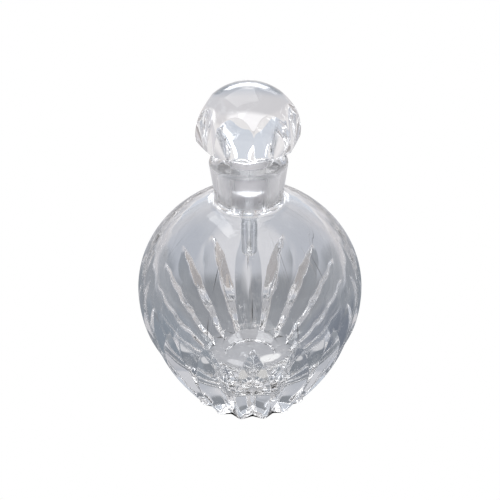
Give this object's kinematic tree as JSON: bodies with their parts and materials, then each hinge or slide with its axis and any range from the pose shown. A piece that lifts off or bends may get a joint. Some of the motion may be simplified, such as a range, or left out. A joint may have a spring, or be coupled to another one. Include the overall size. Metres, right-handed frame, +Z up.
{
  "type": "perfume bottle",
  "caption": "Round cut crystal perfume bottle with mitre-cut leaves rising from the foot, a short neck, and a fluted ball stopper that carries a glass dauber rod.",
  "frame": {"origin": "centre of the foot's underside, where the bottle stands", "axes": "+Z up along the bottle's axis of turning, through the neck and the stopper; -Y is towards the camera, on the line of one leaf"},
  "size_m": [0.08, 0.08, 0.1239],
  "materials": {
    "crystal": "clear lead crystal, polished, with a ground satin socket inside the neck",
    "stopper_crystal": "clear lead crystal, polished on the ball and ground to a satin surface on the plug",
    "rod_glass": "clear drawn glass, fire polished"
  },
  "bodies": {
    "bottle": {"bottle": "crystal"},
    "dauber": {"dauber": "rod_glass"},
    "stopper": {"stopper": "stopper_crystal"}
  },
  "joints": [
    {"name": "stopper_lift", "type": "slide", "parent": "bottle", "child": "dauber", "axis": [0, 0, 1], "range_m": [0, 0.06]},
    {"name": "stopper_twist", "type": "hinge", "parent": "dauber", "child": "stopper", "pos_m": [0, 0, 0.09], "axis": [0, 0, 1], "continuous": true}
  ]
}
